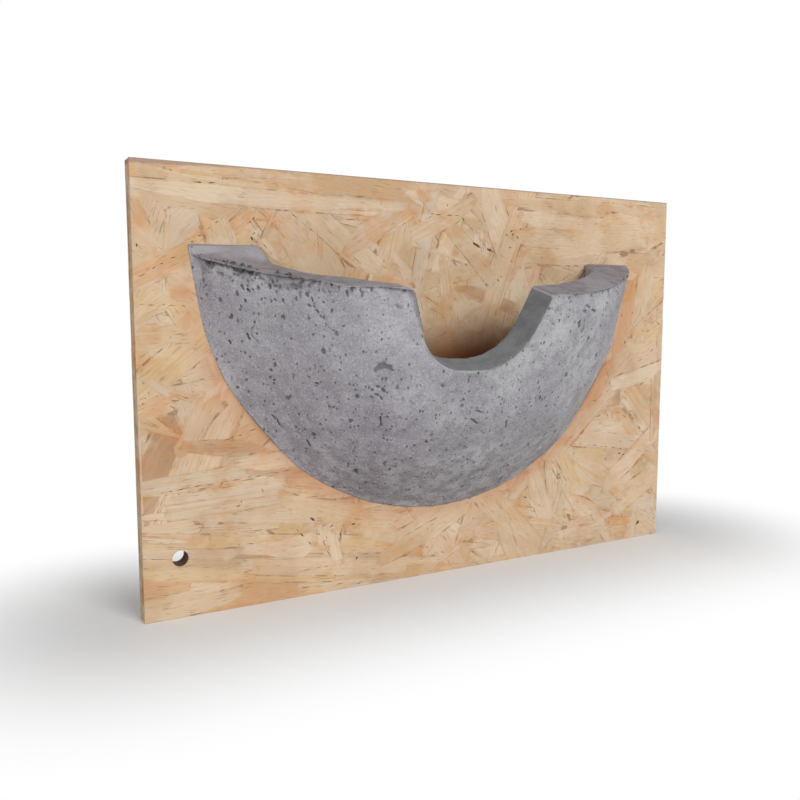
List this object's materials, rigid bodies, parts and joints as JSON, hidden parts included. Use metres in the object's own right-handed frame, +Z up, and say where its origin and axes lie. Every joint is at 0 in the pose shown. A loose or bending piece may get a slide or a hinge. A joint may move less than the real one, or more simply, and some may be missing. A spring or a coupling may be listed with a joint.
{
  "type": "swallow nest box",
  "caption": "Open-topped swallow nest: a half-round cast concrete bowl with a rounded entrance notch, screwed to a flat strand board backboard that is fixed to a wall.",
  "frame": {"origin": "centre of the backboard's back face, the face that lies on the wall", "axes": "+Z up, front of the nest looks along -Y, +X to the right seen from the front"},
  "size_m": [0.3, 0.0701, 0.195],
  "materials": {
    "strand_board": "unsealed pressed wood strands, tan with darker gaps",
    "cast_concrete": "porous cast concrete, matt grey",
    "zinc_plated_steel": "bright zinc plate",
    "nylon": "moulded grey nylon"
  },
  "bodies": {
    "root": {"backboard": "strand_board", "nest_bowl": "cast_concrete", "bowl_screw_upper_left": "zinc_plated_steel", "bowl_screw_upper_right": "zinc_plated_steel", "bowl_screw_lower_left": "zinc_plated_steel", "bowl_screw_lower_right": "zinc_plated_steel", "bowl_plug_upper_left": "nylon", "bowl_plug_upper_right": "nylon", "bowl_plug_lower_left": "nylon", "bowl_plug_lower_right": "nylon"}
  },
  "joints": []
}
